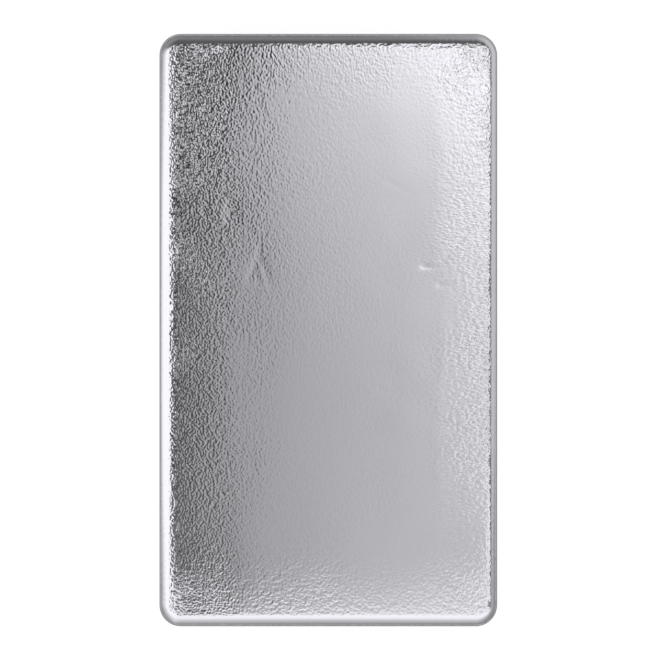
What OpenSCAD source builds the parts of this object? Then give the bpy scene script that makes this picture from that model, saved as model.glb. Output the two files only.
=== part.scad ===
// Cast kilogram bar, stored as it left an open mould and was turned out.
// The pour face is up, with a drawn-up rim round a middle that sank as it cooled.
// The walls narrow towards the flat mould face, which rests on the ground at z = 0.
// X runs across the width, Y along the length.

/* [Overall size] */
// Length at the widest section, just under the rim
length = 100; // [60:0.5:160]
// Width at the widest section, just under the rim
width = 57; // [40:0.5:100]
// Height from the mould face to the crest of the rim
thickness = 17.55; // [10:0.05:25]

/* [Mould form] */
// Plan radius of the corners at the widest section
corner_radius = 3.6; // [3:0.1:10]
// Draft of the walls, in degrees
draft_angle = 4; // [1:0.5:5]
// Radius of the edge round the mould face
foot_radius = 1.2; // [0.4:0.1:2]

/* [Pour face] */
// Radius of the rim that the molten metal drew up to
rim_radius = 1.75; // [0.6:0.05:3]
// Least width of the level crest between the rim and the sunken face
crest_width = 0.2; // [0.2:0.1:1]
// Width of the border that slopes from the crest to the level middle
border_width = 11; // [4:0.5:13]
// Depth to which the middle sank
sink_depth = 0.45; // [0.1:0.05:1]

/* [Hidden] */
$fn = 96;

// Height of the cutter above the crest, so that the cut has no skin
cut_above = 1;
// Depth of the wall inside the rounds it blends into, so that their surfaces cross cleanly
blend_depth = 0.002;
// Edge section: r runs out from a corner's axis and z up, and wall_out points out of the wall
wall_out = [cos(draft_angle), -sin(draft_angle)];
rim_centre = [corner_radius - rim_radius, thickness - rim_radius];
// Distance of the wall's plane from the foot of the corner's axis
wall_reach = rim_centre * wall_out + rim_radius;
// The edge at the mould face is never rounder than the drafted corner leaves room for
foot_round = min(foot_radius, wall_reach / (1 - sin(draft_angle)));
foot_centre = [(wall_reach - foot_round * (1 - sin(draft_angle))) / cos(draft_angle), foot_round];
// The sunken face's square corners stay inside the rounded corners of the rim
sink_inset = corner_radius - (corner_radius - rim_radius) * cos(45) + crest_width;

// Outer half of a round edge of this radius
module edge_round(centre, radius) {
    translate(centre) intersection() {
        circle(radius);
        translate([0, -radius]) square([radius, 2 * radius]);
    }
}

// Half of the bar's section, from a corner's axis out to the wall
module edge_section() {
    polygon([
        [0, 0], [foot_centre.x, 0],
        foot_centre + (foot_round - blend_depth) * wall_out,
        rim_centre + (rim_radius - blend_depth) * wall_out,
        [rim_centre.x, thickness], [0, thickness]
    ]);
    edge_round(foot_centre, foot_round);
    edge_round(rim_centre, rim_radius);
}

// Whole section across a bar of this span
module bar_section(span) {
    axis_x = span / 2 - corner_radius;
    translate([-axis_x, 0]) square([2 * axis_x, thickness]);
    for (side = [0, 1])
        mirror([side, 0]) translate([axis_x, 0]) edge_section();
}

// Drafted block with its rounded corners, rim and foot, and a level top
module cast_block() {
    rotate([90, 0, 0])
        linear_extrude(length - 2 * corner_radius, center = true) bar_section(width);
    rotate([90, 0, 90])
        linear_extrude(width - 2 * corner_radius, center = true) bar_section(length);
    for (side = [0, 1], end = [0, 1])
        mirror([side, 0, 0]) mirror([0, end, 0])
            translate([width / 2 - corner_radius, length / 2 - corner_radius, 0])
                rotate_extrude(angle = 90) edge_section();
}

// Section of the sunken face across a bar of this span, open at the top
module sink_section(span) {
    crest_x = span / 2 - sink_inset;
    middle_x = crest_x - border_width;
    slope = border_width / sink_depth;
    top_x = crest_x + cut_above * slope;
    polygon([
        [-middle_x, thickness - sink_depth], [middle_x, thickness - sink_depth],
        [top_x, thickness + cut_above], [-top_x, thickness + cut_above]
    ]);
}

// Shallow pan that the metal left as it shrank
module sunken_face() {
    intersection() {
        rotate([90, 0, 0]) linear_extrude(2 * length, center = true) sink_section(width);
        rotate([90, 0, 90]) linear_extrude(2 * width, center = true) sink_section(length);
    }
}

module silver_bar() {
    color("silver") difference() {
        cast_block();
        sunken_face();
    }
}

silver_bar();
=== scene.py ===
"""A cast silver bar seen from straight above, pour face up, on a pale floor."""

import math

import bmesh
import bpy
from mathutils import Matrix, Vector, noise


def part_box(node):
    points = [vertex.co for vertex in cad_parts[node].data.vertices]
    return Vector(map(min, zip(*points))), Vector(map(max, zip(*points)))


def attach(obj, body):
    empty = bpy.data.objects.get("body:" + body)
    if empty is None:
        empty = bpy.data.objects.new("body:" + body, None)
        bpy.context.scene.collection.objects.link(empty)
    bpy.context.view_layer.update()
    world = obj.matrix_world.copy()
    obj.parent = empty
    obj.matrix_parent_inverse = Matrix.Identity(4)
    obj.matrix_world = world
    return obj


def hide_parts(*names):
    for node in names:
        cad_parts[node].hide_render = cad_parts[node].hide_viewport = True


MM = 0.001

# Edge of the bar, as the mould and the drawn-up metal left it
CORNER_RADIUS = 3.6 * MM
RIM_HEIGHT = 1.75 * MM
FOOT_RADIUS = 1.2 * MM
DRAFT = math.radians(4)

# Width of the rim on each side, which follows how the bar cooled
RIM_LEFT = 1.95 * MM
RIM_RIGHT = 1.30 * MM
RIM_TOP = 1.98 * MM
RIM_BOTTOM = 2.02 * MM

# Cells of the mesh in the smooth middle, and width of the border in which they are halved
MIDDLE_CELL = 0.48 * MM
FINE_BORDER = 11 * MM

# Rows of the mesh down the edge, and insets of its last rows on the mould face
RIM_ROWS = 12
WALL_ROWS = 10
FOOT_ROWS = 4
FLAT_INSETS = (0.5 * MM, 1.0 * MM)

# Depth of the sunken middle under the crest, and of the crest under the bar's full height
SINK_DEPTH = 0.35 * MM
CREST_DROP = 0.06 * MM

# Fall from each side to the middle: how far in it reaches, and the width of its soft start
LEFT_FALL = (18 * MM, 0.5 * MM)
RIGHT_FALL = (18 * MM, 0.8 * MM)
TOP_FALL = (18 * MM, 0.5 * MM)
BOTTOM_FALL = (22 * MM, 3.0 * MM)
FALL_EASE = 2

# Ledge inside the right crest that stayed up, and how far and at what spacing its fold wanders
LEDGE = 8.0 * MM
LEDGE_WANDER = 1.2 * MM
LEDGE_WANDER_SIZE = 6 * MM

# Lip inside the crest, where the face already turns down: its reach and drop on each side
LIP_LEFT = (1.2 * MM, 0.036 * MM)
LIP_RIGHT = (0.7 * MM, 0.017 * MM)
LIP_TOP = (0.5 * MM, 0.036 * MM)
LIP_EASE = 2

# Wander of the crest in plan: its spacing, its reach inside the crest and how fast the rim ends it
WANDER_SIZE = 0.5 * MM
WANDER_REACH = 1.6 * MM
WANDER_EASE = 3

# How far the crest wanders on each side
WANDER_LEFT = 0.40 * MM
WANDER_RIGHT = 0.35 * MM
WANDER_TOP = 0.32 * MM
WANDER_BOTTOM = 0.10 * MM

# Low swells of the set metal, stretched along the bar, which end at the crest
SWELL_SIZE = 9 * MM
SWELL_STRETCH = 2
SWELL_HEIGHT = 0.025 * MM
SWELL_EDGE = 8 * MM

# Dents that the set metal kept: place, half width, half length, degrees of lean to the right, depth
DENTS = (
    (-20.9 * MM, 20.3 * MM, 0.8 * MM, 1.2 * MM, 0, 0.032 * MM),
    (-16.9 * MM, 20.1 * MM, 1.0 * MM, 1.6 * MM, 0, 0.055 * MM),
    (-12.4 * MM, 11.5 * MM, 0.6 * MM, 1.9 * MM, 20, 0.030 * MM),
    (-10.9 * MM, 10.2 * MM, 0.6 * MM, 2.8 * MM, -19, 0.030 * MM),
    (-13.3 * MM, 9.4 * MM, 0.6 * MM, 1.4 * MM, 10, 0.026 * MM),
    (-12.0 * MM, 8.8 * MM, 0.5 * MM, 1.2 * MM, -8, 0.022 * MM),
    (16.2 * MM, 10.7 * MM, 1.2 * MM, 0.45 * MM, 0, 0.125 * MM),
    (18.8 * MM, 7.6 * MM, 1.0 * MM, 0.45 * MM, 0, 0.080 * MM),
    (19.2 * MM, 11.8 * MM, 0.5 * MM, 1.5 * MM, 58, 0.070 * MM),
    (10.6 * MM, 24.6 * MM, 0.4 * MM, 3.0 * MM, -62, 0.010 * MM),
)

# Shares of a dent's half width that its steep left wall and its gentle right one take up
DENT_STEEP = 0.55
DENT_GENTLE = 1.6

# Reach of the halved cells round a dent
DENT_ROOM = 3 * MM

# Grain that the mesh holds: its spacing, its height, and the width over which it ends in the border
GRAIN_SIZE = 0.50 * MM
GRAIN_HEIGHT = 0.025 * MM
GRAIN_HOLD = 3 * MM

# Reach and strength of the grain from each side, how fast it fades, and its strength in the middle
LEFT_GRAIN = (13.5 * MM, 0.80)
RIGHT_GRAIN = (8 * MM, 1.05)
TOP_GRAIN = (7 * MM, 0.80)
BOTTOM_GRAIN = (10 * MM, 0.60)
GRAIN_FADE = 4
MIDDLE_GRAIN = 0.09

# Where the grain of a side changes along it: from, to, and to what share
LEFT_EASES = (25 * MM, 0, 0.50)
LEFT_FOOT_EASES = (-34 * MM, -43 * MM, 0.7)
RIGHT_FOOT_EASES = (-24 * MM, -34 * MM, 0.3)
TOP_EASES = (-24 * MM, -12 * MM, 0.32)
TOP_GROWS = (-4 * MM, 12 * MM, 3.1)
BOTTOM_EASES = (0, 12 * MM, 0.5)

# Rougher quarter of the middle, up and to the left: its strength, and where it sets in and ends
UPPER_GRAIN = 0.25
UPPER_FROM = (-12 * MM, 4 * MM)
UPPER_UNTIL = (-3 * MM, 8 * MM)

# Patches of stronger and weaker grain, and how far and at what spacing the grain's reach drifts
PATCH_SIZE = 8 * MM
PATCH_SHARE = 0.5
GRAIN_DRIFT_SIZE = 9 * MM
GRAIN_DRIFT = 3 * MM

# How much more grain there is on the crest, how far it reaches in, and where it ends on the rim
CREST_GRAIN = 0.35
CREST_GRAIN_REACH = 0.9 * MM
RIM_GRAIN = 0.35

# Layers of the noise, so that no two of the reliefs share their lumps
GRAIN_LAYER = 0.5
LEDGE_LAYER = 3.3
DRIFT_LAYER = 11.3
SWELL_LAYER = 21.7
PATCH_LAYER = 33.1
WANDER_LAYER = 41.9

# Waves that the mould left on the walls: spacing, height, and how much closer they are up the wall
WAVE_SIZE = 4 * MM
WAVE_HEIGHT = 0.08 * MM
WAVE_CLOSER = 1.6

# Heights between which the waves set in above the foot, and end under the rim
WAVE_FOOT = (0, 3 * MM)
WAVE_TOP = (16 * MM, 13 * MM)

# Finest grain, which is bump: lumps to a metre, roughness of its layers and height
SPECKLE_SCALE = 2700
SPECKLE_ROUGHNESS = 0.5
SPECKLE_HEIGHT = 0.09 * MM
NOISE_MEAN = 0.5

# Kinds of the finest grain: stretch along X and Y, and layers
FINE_KIND = ((1.0, 1.0), 0.3)
FIBRE_KIND = ((1.0, 1.4), 0.3)
LYING_KIND = ((1.8, 0.85), 1.7)
BROAD_KIND = ((1.3, 1.3), 1.7)

# Where the fibres set in inside the left border
FIBRES_FROM = (-18 * MM, -11 * MM)

# Where the strokes that lie across the bar set in on the right, and where they turn broad at its top
LYING_FROM = (8 * MM, 18 * MM)
LYING_UP_TO = (18 * MM, 34 * MM)

# Where the broad grain sets in along the bottom
BROAD_BELOW = (-30 * MM, -40 * MM)
BROAD_RIGHT_OF = (-18 * MM, -10 * MM)

# Finish of the pour face: the silver, and the painted shade that darkens it in the hollows of its grain
BRIGHT_COLOUR = (0.92, 0.91, 0.965, 1)
BRIGHT_ROUGHNESS = 0.10
HOLLOW_SHADE_COLOUR = (0.60, 0.595, 0.63, 1)
HOLLOW_SHADE_GAIN = 1.8
HOLLOW_SHADE_LEVEL = 0.08

# Finish of the mould skin, with lumps to a metre, layers and their roughness for each pattern
SKIN_DARK = (0.58, 0.58, 0.60, 1)
SKIN_PALE = (0.66, 0.66, 0.69, 1)
SKIN_ROUGHNESS = 0.18
SKIN_MOTTLE = (160, 5, 0.6)
SKIN_PITS = (1400, 2, 0.6)
PIT_SHARE = 0.8

# Where the mould skin starts and is full, in shares of the rim's width
SKIN_EDGE = (0.62, 0.85)

# The light tent that the metal mirrors: its size, its mesh and its level between the windows
TENT_RADIUS = 100 * MM
TENT_SUBDIVISIONS = 5
TENT_LEVEL = 0.317

# Folds that mottle the tent's dark side: their pattern, the part of it that shows and its levels
FOLDS = "folds"
FOLD_PATTERN = (15, 1, 0.5)
FOLD_NOISE = (0.38, 0.62)
FOLD_LEVELS = (0, 0.15)

# Windows of the tent, each over those before it: past a plane across its heading it fades to a level
TENT_WINDOWS = (
    # heading, start and full in shares of the tent's radius, level
    ((1, 0, 0), -0.35, 0.65, 0.785),
    ((0.8, 0.6, 0), -0.07, 0.42, 0.675),
    ((0.6, -0.8, 0), 0.25, 0.54, 0.50),
    ((0, -1, 0), 0.39, 0.62, 0.98),
    ((-1, 0, 0), 0.115, 0.24, FOLDS),
    ((-0.95, 0.31, 0), 0.205, 0.39, 0.02),
    ((1, 0, 0), 0.27, 0.33, 0.90),
    ((0.707, 0.707, 0), 0.22, 0.60, 1.14),
    ((1, 0, 0), 0.40, 0.47, 0.14),
    ((0, -1, 0), 0.41, 0.66, 0.98),
    ((0, -1, 0), 0.70, 1.00, 0.38),
    ((1, 0, 0), 0.52, 0.76, 0.55),
    ((-1, 0, 0), 0.295, 0.42, 1.04),
    ((0, 1, 0), 0.555, 0.68, 0.10),
    ((0, 1, 0), 0.75, 1.00, 0.25),
    ((0.707, 0.707, 0), 0.70, 0.95, 0.58),
    ((-0.707, 0.707, 0), 0.76, 1.00, 0.32),
    ((-0.707, -0.707, 0), 0.76, 1.00, 0.38),
    ((0.707, -0.707, 0), 0.73, 0.97, 0.30),
)

# Even light of the room, which the camera sees as plain white
ROOM_LEVEL = 0.6
ROOM_COLOUR = (1, 1, 1, 1)

# The pale floor: its reach in metres, its paper, and the glow that only the camera sees
FLOOR_REACH = 4
PAPER_COLOUR = (0.5, 0.5, 0.5, 1)
FLOOR_GLOW = 0.80

# The floor as the metal mirrors it, with a painted shadow round the bar: distance from the bar and level,
# near and further out
PAINTED_SHADOW_NEAR = (2 * MM, 0.02)
PAINTED_SHADOW_END = (40 * MM, 0.40)

# The photograph in pixels: its frame, the length of the bar and the place of the bar's middle
FRAME_PIXELS = 660
BAR_PIXELS = 592.4
BAR_CENTRE = (328.3, 330.1)

# The camera: its height and the end of its view in metres, and its sensor in millimetres
CAMERA_HEIGHT = 4
VIEW_END = 10
SENSOR_WIDTH = 36


def smooth_step(start, end, value):
    """Rises from 0 at start to 1 at end, level at both."""
    t = min(max((value - start) / (end - start), 0), 1)
    return t * t * (3 - 2 * t)


def blend(first, second, share):
    """Goes from the first to the second as the share goes from 0 to 1."""
    return first + (second - first) * share


def noise_at(x, y, size, layer):
    """Smooth noise from -1 to 1 whose lumps are about this size."""
    return noise.noise(Vector((x / size, y / size, layer)))


def fallen(inward, fall):
    """Share of the sink reached at this distance inside the crest, level at both ends."""
    reach, crest = fall
    inward = max(inward, 0)
    soft = inward * inward / (inward + crest)
    return 1 - max(1 - soft / reach, 0) ** FALL_EASE


def fade_from(inward, fade):
    """Strength of the grain at this distance inside the crest."""
    reach, strength = fade
    return strength / (1 + (max(inward, 0) / reach) ** GRAIN_FADE)


def eased(ease, at):
    """Share of a side's grain at a place along it."""
    start, end, share = ease
    return blend(1, share, smooth_step(start, end, at))


class Plan:
    """Outline of the pour face inside the rim, with its corners on the axes of the bar's corners."""

    def __init__(self, low, high):
        self.low = Vector((low.x + RIM_LEFT, low.y + RIM_BOTTOM))
        self.high = Vector((high.x - RIM_RIGHT, high.y - RIM_TOP))
        self.corner_low = Vector((low.x + CORNER_RADIUS, low.y + CORNER_RADIUS))
        self.corner_high = Vector((high.x - CORNER_RADIUS, high.y - CORNER_RADIUS))

    def insets(self, x, y):
        """Distances inside the rim on the left, right, top and bottom."""
        return x - self.low.x, self.high.x - x, self.high.y - y, y - self.low.y

    def past_axis(self, axis, at):
        """How far a point lies past a corner's axis, in shares of the corner, and the rim there."""
        if at < self.corner_low[axis]:
            size = self.corner_low[axis] - self.low[axis]
            return (at - self.corner_low[axis]) / size, CORNER_RADIUS - size
        size = self.high[axis] - self.corner_high[axis]
        return max(at - self.corner_high[axis], 0) / size, CORNER_RADIUS - size

    def rounded(self, x, y):
        """A point of the square plan, pulled in where a corner is round."""
        past_x, _ = self.past_axis(0, x)
        past_y, _ = self.past_axis(1, y)
        if not past_x or not past_y:
            return x, y
        pull = max(abs(past_x), abs(past_y)) / math.hypot(past_x, past_y)
        axis_x = min(max(x, self.corner_low.x), self.corner_high.x)
        axis_y = min(max(y, self.corner_low.y), self.corner_high.y)
        return axis_x + (x - axis_x) * pull, axis_y + (y - axis_y) * pull

    def outward(self, x, y):
        """Direction out of the bar at a point of the outline, and the step across the rim."""
        past_x, rim_x = self.past_axis(0, x)
        past_y, rim_y = self.past_axis(1, y)
        out = Vector((past_x, past_y, 0)).normalized()
        return out, Vector((out.x * rim_x, out.y * rim_y, 0))

    def wander(self, x, y):
        """Shift of a point near the outline by the unsteady crest."""
        left, right, top, bottom = self.insets(x, y)
        unsteady = noise_at(x, y, WANDER_SIZE, WANDER_LAYER)

        def shift(inset, reach):
            return reach * unsteady * smooth_step(WANDER_REACH, 0, inset)

        return Vector((shift(right, WANDER_RIGHT) - shift(left, WANDER_LEFT),
                       shift(top, WANDER_TOP) - shift(bottom, WANDER_BOTTOM), 0))


class PourFace:
    """Relief of the pour face over its plan."""

    def __init__(self, plan):
        self.plan = plan

    def sink(self, x, y):
        """Height of the sunken face against the crest of the rim."""
        left, right, top, bottom = self.plan.insets(x, y)
        fold = LEDGE + LEDGE_WANDER * noise_at(x, y, LEDGE_WANDER_SIZE, LEDGE_LAYER)
        across = fallen(left, LEFT_FALL) * fallen(right - fold, RIGHT_FALL)
        along = fallen(top, TOP_FALL) * fallen(bottom, BOTTOM_FALL)
        return -SINK_DEPTH * across * along

    def lip(self, x, y):
        """Height lost at the crest, where the face turns down to the rim."""
        left, right, top, _ = self.plan.insets(x, y)

        def drop(inset, lip):
            reach, depth = lip
            return depth * max(1 - max(inset, 0) / reach, 0) ** LIP_EASE

        return -drop(left, LIP_LEFT) - drop(right, LIP_RIGHT) - drop(top, LIP_TOP)

    def near_rim(self, x, y):
        """Strength of the grain away from the crest: patchy, and fading to the middle."""
        left, right, top, bottom = self.plan.insets(x, y)
        drift = GRAIN_DRIFT * noise_at(x, y, GRAIN_DRIFT_SIZE, DRIFT_LAYER)
        near = math.hypot(
            fade_from(left + drift, LEFT_GRAIN) * eased(LEFT_EASES, y) * eased(LEFT_FOOT_EASES, y),
            fade_from(right + drift, RIGHT_GRAIN) * eased(RIGHT_FOOT_EASES, y),
            fade_from(top + drift, TOP_GRAIN) * eased(TOP_EASES, x) * eased(TOP_GROWS, x),
            fade_from(bottom + drift, BOTTOM_GRAIN) * eased(BOTTOM_EASES, x),
        )
        patch = 1 + PATCH_SHARE * noise_at(x, y, PATCH_SIZE, PATCH_LAYER)
        upper = smooth_step(*UPPER_FROM, y) * (1 - smooth_step(*UPPER_UNTIL, x))
        middle = blend(MIDDLE_GRAIN, UPPER_GRAIN, upper)
        return blend(middle, 1, near) * patch

    def grain_share(self, x, y):
        """Strength of the grain, which grows on every crest but the bottom one."""
        left, right, top, _ = self.plan.insets(x, y)
        crest = max(min(left, right, top), 0) / CREST_GRAIN_REACH
        return self.near_rim(x, y) + CREST_GRAIN * math.exp(-crest)

    def grain(self, x, y):
        """Height of the grain where the mesh is fine enough to hold it."""
        held = smooth_step(FINE_BORDER, FINE_BORDER - GRAIN_HOLD, min(self.plan.insets(x, y)))
        return GRAIN_HEIGHT * held * noise_at(x, y, GRAIN_SIZE, GRAIN_LAYER)

    def swell(self, x, y):
        """Height of the low swells."""
        inside = smooth_step(0, SWELL_EDGE, min(self.plan.insets(x, y)))
        return SWELL_HEIGHT * inside * noise_at(x, y / SWELL_STRETCH, SWELL_SIZE, SWELL_LAYER)


def dent_height(x, y):
    """Depth of the dents at a point, as a height."""
    height = 0
    for dent_x, dent_y, half_width, half_length, lean, depth in DENTS:
        right = Vector((math.cos(math.radians(lean)), -math.sin(math.radians(lean))))
        away = Vector((x - dent_x, y - dent_y))
        across = away.dot(right) / half_width
        across /= DENT_STEEP if across < 0 else DENT_GENTLE
        along = right.cross(away) / half_length
        height -= depth * math.exp(-across * across - along * along)
    return height


def broad_share(x, y):
    """Share of the grain that is broad, up on the right and along the bottom."""
    above = smooth_step(*LYING_UP_TO, y) * smooth_step(*LYING_FROM, x)
    below = smooth_step(*BROAD_BELOW, y) * smooth_step(*BROAD_RIGHT_OF, x)
    return max(above, below)


def rim_rows():
    """The rim from its crest to the top of the wall, as steps out and up in shares of its radius."""
    for row in range(1, RIM_ROWS + 1):
        angle = math.pi / 2 - (math.pi / 2 + DRAFT) * row / RIM_ROWS
        yield math.cos(angle), math.sin(angle)


def lower_rows(height):
    """The wall, the foot and the mould face's edge, as steps in from the widest line and heights."""
    wall_in = RIM_HEIGHT * (1 - math.cos(DRAFT))
    wall_z = height - RIM_HEIGHT * (1 + math.sin(DRAFT))
    foot_z = FOOT_RADIUS * (1 - math.sin(DRAFT))
    foot_in = wall_in + (wall_z - foot_z) * math.tan(DRAFT)
    for row in range(1, WALL_ROWS + 1):
        share = row / WALL_ROWS
        yield blend(wall_in, foot_in, share), blend(wall_z, foot_z, share)
    centre_in = foot_in + FOOT_RADIUS * math.cos(DRAFT)
    for row in range(1, FOOT_ROWS + 1):
        angle = -DRAFT - (math.pi / 2 - DRAFT) * row / FOOT_ROWS
        yield centre_in - FOOT_RADIUS * math.cos(angle), FOOT_RADIUS * (1 + math.sin(angle))
    for inset in FLAT_INSETS:
        yield centre_in + inset, 0


def wall_wave(at):
    """Depth of the wall's waves at a point of it, none at the rim and the foot."""
    lump = noise.noise(Vector((at.x, at.y, WAVE_CLOSER * at.z)) / WAVE_SIZE)
    return WAVE_HEIGHT * (1 + lump) * smooth_step(*WAVE_FOOT, at.z) * smooth_step(*WAVE_TOP, at.z)


class BarLayers:
    """What each vertex of the bar carries: where its edge starts and heads, and its finish."""

    def __init__(self, bm):
        vectors = bm.verts.layers.float_vector
        self.base = vectors.new("rim_base")
        self.out = vectors.new("wall_out")
        self.across = vectors.new("rim_across")
        self.shift = vectors.new("crest_shift")
        shares = bm.verts.layers.float
        self.grain = shares.new("pour_grain")
        self.fibre = shares.new("fibre_grain")
        self.lying = shares.new("lying_grain")
        self.broad = shares.new("broad_grain")
        self.mould = shares.new("mould_skin")


def face_grid(bm, plan):
    """Grid of the pour face out to the rim, with halved cells in the border and round the dents."""
    size = plan.high - plan.low
    columns = round(size.x / MIDDLE_CELL)
    lines = round(size.y / MIDDLE_CELL)
    bmesh.ops.create_grid(bm, x_segments=columns, y_segments=lines, size=0.5)
    bmesh.ops.scale(bm, vec=(size.x, size.y, 1), verts=bm.verts)
    middle = (plan.low + plan.high) / 2
    bmesh.ops.translate(bm, vec=(middle.x, middle.y, 0), verts=bm.verts)

    def is_fine(face):
        at = face.calc_center_median()
        by_dent = any(math.hypot(at.x - dent[0], at.y - dent[1]) < DENT_ROOM for dent in DENTS)
        return by_dent or min(plan.insets(at.x, at.y)) < FINE_BORDER

    fine = [edge for edge in bm.edges if any(is_fine(face) for face in edge.link_faces)]
    bmesh.ops.subdivide_edges(bm, edges=fine, cuts=1, use_grid_fill=True)
    for vert in bm.verts:
        vert.co.x, vert.co.y = plan.rounded(vert.co.x, vert.co.y)


def sink_face(bm, layers, face, height):
    """Gives the grid its sunken form, its lip and dents, and the strength of its grain."""
    for vert in bm.verts:
        x, y, _ = vert.co
        vert.co.z = height - CREST_DROP + face.sink(x, y) + face.lip(x, y) + dent_height(x, y)
        vert[layers.grain] = face.grain_share(x, y)


def open_edge(bm, layers, plan):
    """Notes where the edge starts and heads, lets the crest wander, and returns the edge's loop."""
    loop = [edge for edge in bm.edges if edge.is_boundary]
    for vert in {vert for edge in loop for vert in edge.verts}:
        vert[layers.base] = vert.co
        vert[layers.out], vert[layers.across] = plan.outward(vert.co.x, vert.co.y)
        vert[layers.shift] = plan.wander(vert.co.x, vert.co.y)
    for vert in bm.verts:
        vert.co += plan.wander(vert.co.x, vert.co.y)
    return loop


def grow_row(bm, edges):
    """Extrudes an open edge loop and returns the new loop's edges and vertices."""
    grown = bmesh.ops.extrude_edge_only(bm, edges=edges)["geom"]
    loop = [item for item in grown if isinstance(item, bmesh.types.BMEdge) and item.is_boundary]
    return loop, {vert for edge in loop for vert in edge.verts}


def draw_rim(bm, layers, face, height, loop):
    """Draws the rim out and down from the crest, and returns the loop at the top of the wall."""
    widest = height - RIM_HEIGHT
    for step_out, step_up in rim_rows():
        loop, verts = grow_row(bm, loop)
        for vert in verts:
            rise = vert[layers.base].z - widest if step_up > 0 else RIM_HEIGHT
            wander = vert[layers.shift] * (1 - step_out) ** WANDER_EASE
            vert.co = vert[layers.base] + vert[layers.across] * step_out + wander
            vert.co.z = widest + rise * step_up
            fade = 1 - smooth_step(0, RIM_GRAIN, step_out)
            vert[layers.grain] = fade * face.grain_share(vert.co.x, vert.co.y)
            vert[layers.mould] = smooth_step(*SKIN_EDGE, step_out)
    return loop


def roughen(bm, layers, face, height):
    """Adds the grain and the swells under the bar's full height, and the shares of each kind of grain."""
    for vert in bm.verts:
        x, y, z = vert.co
        vert[layers.fibre] = smooth_step(*FIBRES_FROM, x)
        vert[layers.lying] = smooth_step(*LYING_FROM, x)
        vert[layers.broad] = broad_share(x, y)
        vert.co.z = min(z + vert[layers.grain] * face.grain(x, y) + face.swell(x, y), height)


def draw_walls(bm, layers, height, loop):
    """Draws the wavy walls and the foot down from the rim, and closes the mould face."""
    for step_in, z in lower_rows(height):
        loop, verts = grow_row(bm, loop)
        for vert in verts:
            vert.co = vert[layers.base] + vert[layers.across] - vert[layers.out] * step_in
            vert.co.z = z
            vert.co -= vert[layers.out] * wall_wave(vert.co)
            vert[layers.grain] = 0
            vert[layers.mould] = 1
    bmesh.ops.edgeloop_fill(bm, edges=loop)


def cast_bar_mesh(low, high):
    """The whole bar: a relief over the pour face, and its edge drawn down row by row."""
    bm = bmesh.new()
    layers = BarLayers(bm)
    height = high.z - low.z
    plan = Plan(low, high)
    face = PourFace(plan)
    face_grid(bm, plan)
    sink_face(bm, layers, face, height)
    loop = open_edge(bm, layers, plan)
    loop = draw_rim(bm, layers, face, height, loop)
    roughen(bm, layers, face, height)
    draw_walls(bm, layers, height, loop)
    bmesh.ops.recalc_face_normals(bm, faces=bm.faces)
    for item in bm.faces:
        item.smooth = True
    mesh = bpy.data.meshes.new("cast_bar")
    bm.to_mesh(mesh)
    bm.free()
    return mesh


def add_node(tree, kind, settings=None, sockets=None):
    """Adds a node with its settings, and sets or links its sockets."""
    made = tree.nodes.new(kind)
    for name, value in (settings or {}).items():
        setattr(made, name, value)
    for name, value in (sockets or {}).items():
        if isinstance(value, bpy.types.NodeSocket):
            tree.links.new(value, made.inputs[name])
        else:
            made.inputs[name].default_value = value
    return made


def carried(tree, name):
    """Share that the bar's vertices carry under this name."""
    return add_node(tree, "ShaderNodeAttribute", {"attribute_name": name}).outputs["Fac"]


def lumps(tree, place, pattern):
    """Noise from 0 to 1 of a pattern: its lumps to a unit, its layers and their roughness."""
    scale, layers, roughness = pattern
    sockets = {"Vector": place, "Scale": scale, "Detail": layers, "Roughness": roughness}
    return add_node(tree, "ShaderNodeTexNoise", sockets=sockets).outputs["Fac"]


def reckoned(tree, operation, *values, clamp=False):
    """Result of an operation on numbers."""
    settings = {"operation": operation, "use_clamp": clamp}
    return add_node(tree, "ShaderNodeMath", settings, dict(enumerate(values))).outputs["Value"]


def vector_node(tree, operation, *values):
    """Node of an operation on vectors."""
    return add_node(tree, "ShaderNodeVectorMath", {"operation": operation}, dict(enumerate(values)))


def mixed(tree, kind, share, first, second):
    """Goes from the first number or colour to the second with the share."""
    sockets = {"Factor": share, "A": first, "B": second}
    return add_node(tree, "ShaderNodeMix", {"data_type": kind}, sockets).outputs["Result"]


def ranged(tree, value, start, end, low=0, high=1, course="SMOOTHSTEP"):
    """Goes from low to high as the value goes from start to end."""
    sockets = {"Value": value, "From Min": start, "From Max": end, "To Min": low, "To Max": high}
    return add_node(tree, "ShaderNodeMapRange", {"interpolation_type": course}, sockets).outputs["Result"]


def speckle(tree, place, kind):
    """Noise about zero for one kind of the finest grain."""
    stretch, layers = kind
    stretched = vector_node(tree, "DIVIDE", place, (*stretch, 1)).outputs["Vector"]
    spots = lumps(tree, stretched, (SPECKLE_SCALE, layers, SPECKLE_ROUGHNESS))
    return reckoned(tree, "SUBTRACT", spots, NOISE_MEAN)


def grain_strokes(tree, place):
    """The fine grain, and its other kinds where the bar has them."""
    strokes = speckle(tree, place, FINE_KIND)
    kinds = {"fibre_grain": FIBRE_KIND, "lying_grain": LYING_KIND, "broad_grain": BROAD_KIND}
    for name, kind in kinds.items():
        strokes = mixed(tree, "FLOAT", carried(tree, name), strokes, speckle(tree, place, kind))
    return strokes


def silver_with_painted_shade(tree, strokes, grain):
    """Bright silver, a little darker in the hollows of the grain: painted shade."""
    hollow_shade = reckoned(tree, "MULTIPLY_ADD", strokes, -HOLLOW_SHADE_GAIN, HOLLOW_SHADE_LEVEL)
    painted_shade = reckoned(tree, "MULTIPLY", hollow_shade, grain, clamp=True)
    return mixed(tree, "RGBA", painted_shade, BRIGHT_COLOUR, HOLLOW_SHADE_COLOUR)


def skin_colour(tree, place):
    """Dull silver, mottled by the mould."""
    return mixed(tree, "RGBA", lumps(tree, place, SKIN_MOTTLE), SKIN_DARK, SKIN_PALE)


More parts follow.
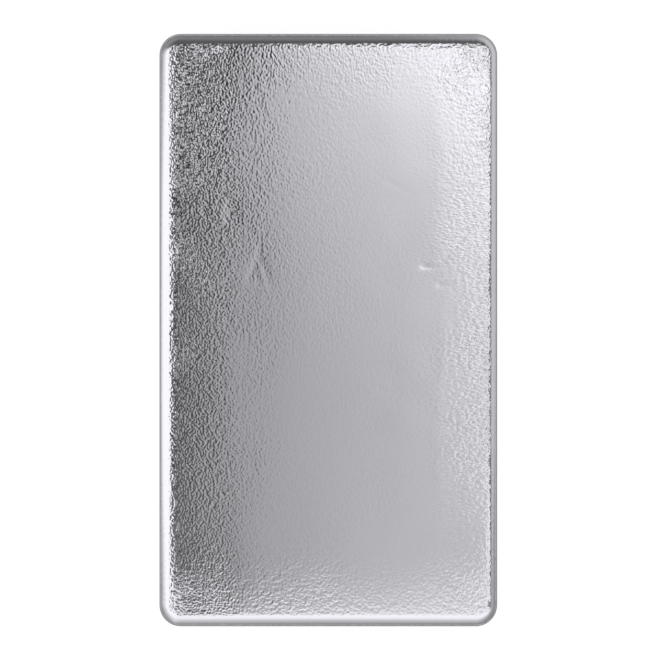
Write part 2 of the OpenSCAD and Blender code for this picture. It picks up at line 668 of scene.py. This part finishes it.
def bump_height(tree, place, strokes, grain, mould):
    """The finest grain on the pour face, and the pits of the mould skin."""
    pour = reckoned(tree, "MULTIPLY", strokes, grain)
    pits = reckoned(tree, "MULTIPLY", lumps(tree, place, SKIN_PITS), mould)
    return reckoned(tree, "MULTIPLY_ADD", pits, PIT_SHARE, pour)


def silver():
    """Bright cast silver: fine grain on the pour face, a duller mould skin below."""
    material = bpy.data.materials.new("cast_silver")
    material.use_nodes = True
    tree = material.node_tree
    place = add_node(tree, "ShaderNodeTexCoord").outputs["Object"]
    grain = carried(tree, "pour_grain")
    mould = carried(tree, "mould_skin")
    strokes = grain_strokes(tree, place)
    # The pour face's colour carries painted shade in the hollows of its grain
    colour = mixed(tree, "RGBA", mould, silver_with_painted_shade(tree, strokes, grain), skin_colour(tree, place))
    roughness = ranged(tree, mould, 0, 1, BRIGHT_ROUGHNESS, SKIN_ROUGHNESS, course="LINEAR")
    height = bump_height(tree, place, strokes, grain, mould)
    bump = add_node(tree, "ShaderNodeBump",
                    sockets={"Height": height, "Distance": SPECKLE_HEIGHT, "Strength": 1})
    shader = tree.nodes["Principled BSDF"]
    shader.inputs["Metallic"].default_value = 1
    tree.links.new(colour, shader.inputs["Base Color"])
    tree.links.new(roughness, shader.inputs["Roughness"])
    tree.links.new(bump.outputs["Normal"], shader.inputs["Normal"])
    return material


def linked_object(name, bm):
    """Object in the scene with the mesh of a finished bmesh."""
    mesh = bpy.data.meshes.new(name)
    bm.to_mesh(mesh)
    bm.free()
    made = bpy.data.objects.new(name, mesh)
    bpy.context.scene.collection.objects.link(made)
    return made


def fold_level(tree, place):
    """Level of the tent's folds on its dark side."""
    return ranged(tree, lumps(tree, place, FOLD_PATTERN), *FOLD_NOISE, *FOLD_LEVELS)


def window_level(tree, place):
    """Level of the tent at a place on it, given in shares of its radius."""
    level = TENT_LEVEL
    for heading, start, full, window in TENT_WINDOWS:
        reach = vector_node(tree, "DOT_PRODUCT", place, heading).outputs["Value"]
        share = ranged(tree, reach, start, full)
        shown = fold_level(tree, place) if window == FOLDS else window
        level = mixed(tree, "FLOAT", share, level, shown)
    return level


def tent_cloth():
    """Glow of the tent's windows, folds and dark gaps."""
    material = bpy.data.materials.new("tent_cloth")
    material.use_nodes = True
    material.cycles.emission_sampling = "NONE"
    tree = material.node_tree
    tree.nodes.clear()
    place = add_node(tree, "ShaderNodeTexCoord").outputs["Object"]
    share = add_node(tree, "ShaderNodeVectorMath", {"operation": "SCALE"},
                     {"Vector": place, "Scale": 1 / TENT_RADIUS}).outputs["Vector"]
    glow = add_node(tree, "ShaderNodeEmission", sockets={"Strength": window_level(tree, share)})
    output = add_node(tree, "ShaderNodeOutputMaterial")
    tree.links.new(glow.outputs[0], output.inputs["Surface"])
    return material


def light_tent():
    """Tent of soft windows and dark gaps round the bar, which only the metal's mirror sees."""
    bm = bmesh.new()
    bmesh.ops.create_icosphere(bm, subdivisions=TENT_SUBDIVISIONS, radius=TENT_RADIUS)
    tent = linked_object("light_tent", bm)
    tent.visible_camera = False
    tent.visible_diffuse = False
    tent.visible_transmission = False
    tent.visible_shadow = False
    tent.data.materials.append(tent_cloth())


def white_room():
    """Even light on the floor, and a white ground for the camera."""
    world = bpy.data.worlds.new("white_room")
    world.use_nodes = True
    tree = world.node_tree
    seen = add_node(tree, "ShaderNodeLightPath").outputs["Is Camera Ray"]
    level = ranged(tree, seen, 0, 1, ROOM_LEVEL, 1, course="LINEAR")
    tree.nodes["Background"].inputs["Color"].default_value = ROOM_COLOUR
    tree.links.new(level, tree.nodes["Background"].inputs["Strength"])
    bpy.context.scene.world = world


def mirrored_floor_shadow(tree, high):
    """Level of the floor as the metal mirrors it, by the distance from the bar: a painted shadow, darkest
    next to the bar.
    """
    place = add_node(tree, "ShaderNodeTexCoord").outputs["Object"]
    side = vector_node(tree, "ABSOLUTE", place).outputs["Vector"]
    out = vector_node(tree, "SUBTRACT", side, high).outputs["Vector"]
    past = vector_node(tree, "MAXIMUM", out, (0, 0, 0)).outputs["Vector"]
    reach = vector_node(tree, "LENGTH", past).outputs["Value"]
    return ranged(tree, reach, PAINTED_SHADOW_NEAR[0], PAINTED_SHADOW_END[0], PAINTED_SHADOW_NEAR[1], PAINTED_SHADOW_END[1])


def floor_paper(high):
    """Paper that glows for the camera, and dimly in the metal's mirror, with a painted shadow there round
    the bar.
    """
    material = bpy.data.materials.new("pale_floor")
    material.use_nodes = True
    tree = material.node_tree
    tree.nodes.clear()
    rays = add_node(tree, "ShaderNodeLightPath")
    seen = reckoned(tree, "MULTIPLY", rays.outputs["Is Camera Ray"], FLOOR_GLOW)
    # In the metal's mirror the floor's glow is a painted shadow, darkest next to the bar
    glow = reckoned(tree, "MULTIPLY_ADD", rays.outputs["Is Glossy Ray"], mirrored_floor_shadow(tree, high), seen)
    emission = add_node(tree, "ShaderNodeEmission", sockets={"Strength": glow})
    paper = add_node(tree, "ShaderNodeBsdfDiffuse", sockets={"Color": PAPER_COLOUR})
    both = add_node(tree, "ShaderNodeAddShader", sockets={0: paper.outputs[0], 1: emission.outputs[0]})
    output = add_node(tree, "ShaderNodeOutputMaterial")
    tree.links.new(both.outputs[0], output.inputs["Surface"])
    return material


def pale_floor(high):
    """Level floor that the camera sees as white, with the bar's soft shadow."""
    bm = bmesh.new()
    bmesh.ops.create_grid(bm, x_segments=1, y_segments=1, size=FLOOR_REACH)
    floor = linked_object("floor", bm)
    floor.data.materials.append(floor_paper(high))


def overhead_camera(low, high):
    """Looks straight down, with the bar as large and as placed as in the photograph."""
    metres_per_pixel = (high.y - low.y) / BAR_PIXELS
    widest = high.z - RIM_HEIGHT
    data = bpy.data.cameras.new("camera")
    data.sensor_width = SENSOR_WIDTH
    data.lens = SENSOR_WIDTH * (CAMERA_HEIGHT - widest) / (FRAME_PIXELS * metres_per_pixel)
    data.clip_end = VIEW_END
    camera = bpy.data.objects.new("camera", data)
    middle = FRAME_PIXELS / 2
    camera.location = (
        (middle - BAR_CENTRE[0]) * metres_per_pixel,
        (BAR_CENTRE[1] - middle) * metres_per_pixel,
        CAMERA_HEIGHT,
    )
    bpy.context.scene.collection.objects.link(camera)
    bpy.context.scene.camera = camera


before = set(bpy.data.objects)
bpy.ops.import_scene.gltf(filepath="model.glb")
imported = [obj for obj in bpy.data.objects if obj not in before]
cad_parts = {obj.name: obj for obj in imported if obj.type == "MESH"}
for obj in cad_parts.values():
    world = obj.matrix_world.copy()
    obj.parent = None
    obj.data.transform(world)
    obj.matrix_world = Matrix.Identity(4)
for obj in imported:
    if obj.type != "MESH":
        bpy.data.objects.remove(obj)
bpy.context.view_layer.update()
bar_low, bar_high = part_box("silver_bar")

bar_mesh = cast_bar_mesh(Vector(bar_low), Vector(bar_high))
bar_mesh.materials.append(silver())
bar = bpy.data.objects.new("cast_bar", bar_mesh)
bpy.context.scene.collection.objects.link(bar)
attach(bar, "root")
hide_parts("silver_bar")

light_tent()
white_room()
pale_floor(Vector(bar_high))
overhead_camera(Vector(bar_low), Vector(bar_high))
bpy.context.scene.view_settings.view_transform = "Standard"
